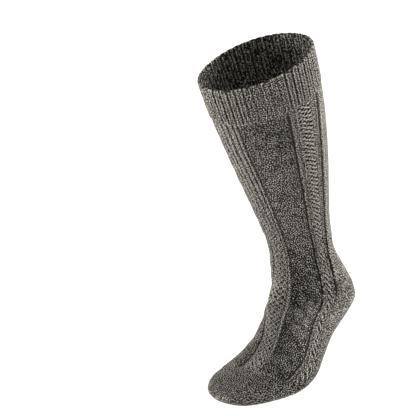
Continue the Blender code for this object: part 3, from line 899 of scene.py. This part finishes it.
def make_piece(name, made, node, inner_step=(6, 4), closed=False, rim=False, tip=False):
    """A closed piece from its outside, a coarser inside and the faces between them.

    closed: it runs all the way round. rim: it begins with the rounded top edge. tip: it ends in
    one point instead of a cut edge.
    """
    row_step, column_step = inner_step
    outside = made["outside"]
    first_inside = 1 if rim else 0
    inside = made["inside"][::row_step, ::column_step][first_inside:]
    if rim:
        outside = np.concatenate([rim_rows(outside, made["inside"]), outside])
    rows, columns = outside.shape[:2]
    inner_rows, inner_columns = inside.shape[:2]
    base = rows * columns
    points = np.concatenate([outside.reshape(-1, 3), inside.reshape(-1, 3)])
    normals = np.concatenate([normals_of(outside, closed).reshape(-1, 3),
                              -normals_of(inside, closed).reshape(-1, 3)])

    quads = np.concatenate([grid_faces(0, rows, columns, closed, False),
                            grid_faces(base, inner_rows, inner_columns, closed, True)])
    numbers = np.arange(base).reshape(rows, columns)
    inner_numbers = base + np.arange(inner_rows * inner_columns).reshape(inner_rows, -1)
    triangles = [edge_faces(numbers[0], inner_numbers[0], column_step, closed, False)]
    if tip:
        for ring, own, flip in ((outside[-1], numbers[-1], False),
                                (inside[-1], inner_numbers[-1], True)):
            middle = len(points)
            points = np.concatenate([points, ring.mean(axis=0)[None] + [[0, -TIP_REACH, 0]]])
            fan = np.stack([own, np.full(len(own), middle), np.roll(own, -1)], axis=1)
            triangles.append(fan[:, ::-1] if flip else fan)
        normals = np.concatenate([normals, [[0, -1, 0], [0, 1, 0]]])
    else:
        triangles.append(edge_faces(numbers[-1], inner_numbers[-1], column_step, closed, True))
    if not closed:
        triangles.append(edge_faces(numbers[:, 0], inner_numbers[:, 0], row_step, False, True))
        triangles.append(edge_faces(numbers[:, -1], inner_numbers[:, -1], row_step, False, False))
    triangles = np.concatenate(triangles)

    mesh = bpy.data.meshes.new(name)
    corners = fill_mesh(mesh, points, quads, triangles)
    set_normals(mesh, normals, corners, points, triangles, not tip)
    for key in KNIT_ATTRIBUTES:
        outer = made[key]
        if rim:
            outer = np.concatenate([np.repeat(outer[:1], RIM_ROWS + 1, axis=0), outer])
        inner = made[key][::row_step, ::column_step][first_inside:]
        set_attribute(mesh, key, np.concatenate([outer.ravel(), inner.ravel()]))
    set_attribute(mesh, "lining", np.concatenate([np.zeros(base), np.ones(len(points) - base)]))
    slot, material = WOOL_OF[node]
    mesh.materials.append(material)
    piece = bpy.data.objects.new(name, mesh)
    bpy.context.scene.collection.objects.link(piece)
    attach(piece, "root")
    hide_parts(node)
    print(name, len(quads) * 2 + len(triangles), "triangles")


class Nodes:
    """Short calls for building a material's nodes."""

    def __init__(self, material):
        material.use_nodes = True
        self.tree = material.node_tree
        self.shader = self.tree.nodes["Principled BSDF"]

    def add(self, kind, **settings):
        """A new node with its settings."""
        node = self.tree.nodes.new(kind)
        for key, value in settings.items():
            setattr(node, key, value)
        return node

    def link(self, value, socket):
        """Links an output to a socket, or sets a number on it."""
        if isinstance(value, (int, float, tuple)):
            socket.default_value = value
        else:
            self.tree.links.new(value, socket)

    def math(self, operation, first, second=0.0):
        """One sum."""
        node = self.add("ShaderNodeMath", operation=operation)
        self.link(first, node.inputs[0])
        self.link(second, node.inputs[1])
        return node.outputs[0]

    def attribute(self, name):
        """A value stored on the mesh."""
        return self.add("ShaderNodeAttribute", attribute_name=name).outputs["Fac"]

    def noise(self, scale, detail):
        """Cloudy noise, 0 to 1."""
        node = self.add("ShaderNodeTexNoise")
        node.inputs["Scale"].default_value = scale
        node.inputs["Detail"].default_value = detail
        self.link(self.add("ShaderNodeTexCoord").outputs["Object"], node.inputs["Vector"])
        return node.outputs["Fac"]

    def remap(self, value, low, high, new_low, new_high):
        """A value moved from one range to another, kept inside it."""
        node = self.add("ShaderNodeMapRange", clamp=True)
        for socket, entry in zip(node.inputs[:5], (value, low, high, new_low, new_high)):
            self.link(entry, socket)
        return node.outputs[0]


# The dark and light ends of the melange yarn; painted shade and painted light move the colour
# between them, and full painted shade in pits reaches the dark end
DARK_YARN = (0.010, 0.0093, 0.0078, 1.0)
LIGHT_YARN = (0.800, 0.755, 0.665, 1.0)
PIT_SHARE = 0.03  # share of the colour left where the painted shade of pits is full

# Scales of the noises, in cells for each metre
YARN_SCALE = 1500.0
FIBRE_SCALE = 1900.0
INNER_FLECK_SCALE = 620.0

# Weights of what makes a spot of wool light or dark. Flecks, stitch legs and yarn are the wool's
# own tones; crests and shines are painted light and shade.
FLECK_WEIGHT = 1.20
LEG_WEIGHT = 0.25
YARN_WEIGHT = 1.2
# Crests paint the tops of stitches lighter and the gaps between them darker, as painted light and
# shade
CREST_WEIGHT = 0.70
SHINE_WEIGHT = 1.2

# Node, slot, how light its wool is in all, which is painted shade for how lit the piece is, and the
# low and high ends from dark to light yarn.
WOOLS = (
    ("cuff", "ribbed_wool", 0.97, 0.87, 1.70),
    ("leg", "patterned_wool", 0.92, 0.85, 1.67),
    ("instep", "instep_wool", 0.98, 0.82, 1.70),
    ("heel", "heel_wool", 0.92, 0.66, 1.85),
    ("sole", "sole_wool", 0.80, 0.72, 1.80),
    ("toe_cap", "toe_wool", 0.84, 0.94, 1.70),
)


def leg_shades(nodes):
    """A chance shade for every leg of every stitch."""
    leg = nodes.math("FLOOR", nodes.math("MULTIPLY", nodes.attribute("wale"), 2.0))
    round_number = nodes.math("FLOOR", nodes.math("ADD", nodes.attribute("course"), 0.5))
    cell = nodes.add("ShaderNodeCombineXYZ")
    nodes.link(leg, cell.inputs[0])
    nodes.link(round_number, cell.inputs[1])
    random = nodes.add("ShaderNodeTexWhiteNoise", noise_dimensions="2D")
    nodes.link(cell.outputs[0], random.inputs["Vector"])
    return random.outputs["Value"]


def flecks(nodes):
    """The flecks: those stored on the mesh outside, and a coarser noise on the lining."""
    lining = nodes.attribute("lining")
    cloudy = nodes.math("SUBTRACT", nodes.noise(INNER_FLECK_SCALE, 0.0), 0.5)
    inner = nodes.math("MULTIPLY", nodes.math("MULTIPLY", cloudy, 6.0), lining)
    outer = nodes.math("MULTIPLY", nodes.attribute("fleck"), nodes.math("SUBTRACT", 1.0, lining))
    return nodes.math("ADD", outer, inner)


def wool(name, shade, low, high):
    """Melange wool: flecks and uneven stitches, painted light on crests and strokes, and painted
    shade in pits.
    """
    material = bpy.data.materials.new(name)
    nodes = Nodes(material)
    shader = nodes.shader
    yarn = nodes.noise(YARN_SCALE, 1.0)
    crest = nodes.attribute("crest")
    mix = nodes.math("MULTIPLY", flecks(nodes), FLECK_WEIGHT)
    # The stitches' crests and the relief's shines add painted light and shade to the wool's own
    # flecks, legs and yarn
    for value, weight in ((leg_shades(nodes), LEG_WEIGHT), (yarn, YARN_WEIGHT),
                          (crest, CREST_WEIGHT), (nodes.attribute("painted_light"), SHINE_WEIGHT)):
        mix = nodes.math("ADD", mix, nodes.math("MULTIPLY", value, weight))
    mix = nodes.remap(mix, low, high, 0.0, 1.0)
    # Painted shade in pits darkens the colour towards the dark yarn
    light_left = nodes.remap(nodes.attribute("pit"), 0.0, 1.0, 1.0, PIT_SHARE)
    # The piece's shade is painted shade for how much light falls on that piece, over the whole
    # colour
    mix = nodes.math("MULTIPLY", nodes.math("MULTIPLY", mix, light_left), shade)
    colour = nodes.add("ShaderNodeMix", data_type="RGBA")
    nodes.link(mix, colour.inputs["Factor"])
    colour.inputs[6].default_value = DARK_YARN
    colour.inputs[7].default_value = LIGHT_YARN
    nodes.link(colour.outputs[2], shader.inputs["Base Color"])
    shader.inputs["Roughness"].default_value = 0.95
    shader.inputs["Specular IOR Level"].default_value = 0.15
    shader.inputs["Sheen Weight"].default_value = 0.20
    shader.inputs["Sheen Roughness"].default_value = 0.5
    shader.inputs["Sheen Tint"].default_value = (0.85, 0.82, 0.76, 1.0)

    surface = nodes.math("MULTIPLY", nodes.noise(FIBRE_SCALE, 3.0), 0.5)
    for value in (crest, yarn):
        surface = nodes.math("ADD", surface, nodes.math("MULTIPLY", value, 0.8))
    bumped = nodes.add("ShaderNodeBump")
    bumped.inputs["Strength"].default_value = 0.6
    bumped.inputs["Distance"].default_value = 0.0005
    nodes.link(surface, bumped.inputs["Height"])
    nodes.link(bumped.outputs["Normal"], shader.inputs["Normal"])
    return material


def floor_white():
    """A plain matt white that also glows, so that the floor stays pale."""
    material = bpy.data.materials.new("floor_white")
    material.use_nodes = True
    shader = material.node_tree.nodes["Principled BSDF"]
    shader.inputs["Base Color"].default_value = (0.30, 0.30, 0.30, 1.0)
    shader.inputs["Roughness"].default_value = 0.9
    shader.inputs["Emission Color"].default_value = (1.0, 1.0, 1.0, 1.0)
    shader.inputs["Emission Strength"].default_value = 0.97
    return material


ROUND_COLUMNS = 2 * COLUMNS_PER_WALE * sum(WALES)
SIDE_COLUMN = COLUMNS_PER_WALE * sum(WALES[:SIDE_BAND])
BACK_COLUMN = COLUMNS_PER_WALE * sum(WALES[:BACK])
FAR_BACK_COLUMN = ROUND_COLUMNS - BACK_COLUMN
CUFF_COLUMNS = RIB_COUNT * WALES_PER_RIB * COLUMNS_PER_WALE

cuff_lengths = lengths_between(0.0, CUFF_LENGTH)
leg_lengths = lengths_between(CUFF_LENGTH, HEEL_TOP_LENGTH)
heel_lengths = lengths_between(HEEL_TOP_LENGTH, HEEL_END_LENGTH)
sole_lengths = lengths_between(HEEL_END_LENGTH, TOE_LENGTH)
toe_lengths = lengths_between(TOE_LENGTH, WHOLE_LENGTH)
instep_lengths = np.concatenate([heel_lengths, sole_lengths[1:]])

WOOL_OF = {node: (slot, wool(slot, *numbers)) for node, slot, *numbers in WOOLS}

# The pieces that don't run all the way round, with their first and last columns
PIECES = (
    ("knit_leg_front", "leg", "pattern", leg_lengths, -SIDE_COLUMN, SIDE_COLUMN),
    ("knit_leg_outer", "leg", "pattern", leg_lengths, SIDE_COLUMN, BACK_COLUMN),
    ("knit_leg_inner", "leg", "pattern", leg_lengths, -BACK_COLUMN, -SIDE_COLUMN),
    ("knit_leg_back", "leg", "pattern", leg_lengths, BACK_COLUMN, FAR_BACK_COLUMN),
    ("knit_instep", "instep", "pattern", instep_lengths, -BACK_COLUMN, BACK_COLUMN),
    ("knit_heel", "heel", "plain", heel_lengths, BACK_COLUMN, FAR_BACK_COLUMN),
    ("knit_sole", "sole", "plain", sole_lengths, BACK_COLUMN, FAR_BACK_COLUMN),
)
for name, node, form, lengths, first, last in PIECES:
    made = knit(lengths, Columns(np.arange(first, last + 1)), False, form)
    make_piece(name, made, node)
made = knit(cuff_lengths, CuffColumns(np.arange(CUFF_COLUMNS)), True, "cuff")
make_piece("knit_cuff", made, "cuff", inner_step=(3, 2), closed=True, rim=True)
made = knit(toe_lengths, Columns(np.arange(ROUND_COLUMNS)), True, "toe")
make_piece("knit_toe_cap", made, "toe_cap", closed=True, tip=True)

# Camera, as the photograph shows the sock
AZIMUTH = math.radians(48.35)
ELEVATION = math.radians(25.45)
ROLL = math.radians(-18.58)
DISTANCE = 1.4793
FOCAL_PIXELS = 1219.5
IMAGE_PIXELS = 416
SENSOR_MILLIMETRES = 36.0
AIM = Vector((0.0, -0.040, 0.150))
AIM_RIGHT = -0.08043
AIM_UP = 0.0286

# Studio
FLOOR_REACH = 30.0
WORLD_STRENGTH = 0.33
SOCK_MIDDLE = Vector((0.0, -0.03, 0.17))
# Steps from the sock's middle to the camera's right, back and up, and the power
LIGHT_COLUMNS = ("name", "right", "back", "up", "size", "power")
LIGHTS = (
    ("light_right", 1.3, -0.5, 0.3, (0.5, 1.6), 46.0),
    ("light_left", -1.4, -0.3, 0.3, (0.5, 1.4), 28.0),
)


def add_camera():
    """The camera at the photograph's viewing angle."""
    back = Vector((math.sin(AZIMUTH) * math.cos(ELEVATION),
                   -math.cos(AZIMUTH) * math.cos(ELEVATION), math.sin(ELEVATION)))
    right = Vector((math.cos(AZIMUTH), math.sin(AZIMUTH), 0.0))
    up = back.cross(right)
    rolled_right = right * math.cos(ROLL) + up * math.sin(ROLL)
    rolled_up = -right * math.sin(ROLL) + up * math.cos(ROLL)
    data = bpy.data.cameras.new("camera")
    data.sensor_width = SENSOR_MILLIMETRES
    data.lens = data.sensor_width * FOCAL_PIXELS / IMAGE_PIXELS
    camera = bpy.data.objects.new("camera", data)
    camera.matrix_world = Matrix.Translation(
        AIM + rolled_right * AIM_RIGHT + rolled_up * AIM_UP + back * DISTANCE
    ) @ Matrix((rolled_right, rolled_up, back)).transposed().to_4x4()
    bpy.context.scene.collection.objects.link(camera)
    bpy.context.scene.camera = camera
    return right, up, back


def add_area(name, place, size, power, aim):
    """A soft rectangular light that points at the sock."""
    data = bpy.data.lights.new(name, "AREA")
    data.shape = "RECTANGLE"
    data.size, data.size_y = size
    data.energy = power
    light = bpy.data.objects.new(name, data)
    light.location = place
    light.rotation_euler = (Vector(aim) - Vector(place)).to_track_quat("-Z", "Y").to_euler()
    bpy.context.scene.collection.objects.link(light)


def add_studio():
    """Pale floor and white surroundings."""
    world = bpy.data.worlds.new("studio")
    world.use_nodes = True
    background = world.node_tree.nodes["Background"]
    background.inputs["Color"].default_value = (1.0, 1.0, 1.0, 1.0)
    background.inputs["Strength"].default_value = WORLD_STRENGTH
    bpy.context.scene.world = world
    floor_z = CAD_BOX[0].z
    mesh = bpy.data.meshes.new("floor")
    corners = [(x * FLOOR_REACH, y * FLOOR_REACH, floor_z)
               for x, y in ((-1, -1), (1, -1), (1, 1), (-1, 1))]
    mesh.from_pydata(corners, [], [(0, 1, 2, 3)])
    mesh.materials.append(floor_white())
    floor = bpy.data.objects.new("floor", mesh)
    bpy.context.scene.collection.objects.link(floor)


right, up, back = add_camera()
add_studio()
bpy.context.scene.view_settings.view_transform = "Standard"
for row in LIGHTS:
    light = named(LIGHT_COLUMNS, row)
    place = SOCK_MIDDLE + right * light["right"] + back * light["back"] + up * light["up"]
    add_area(light["name"], place, light["size"], light["power"], SOCK_MIDDLE)
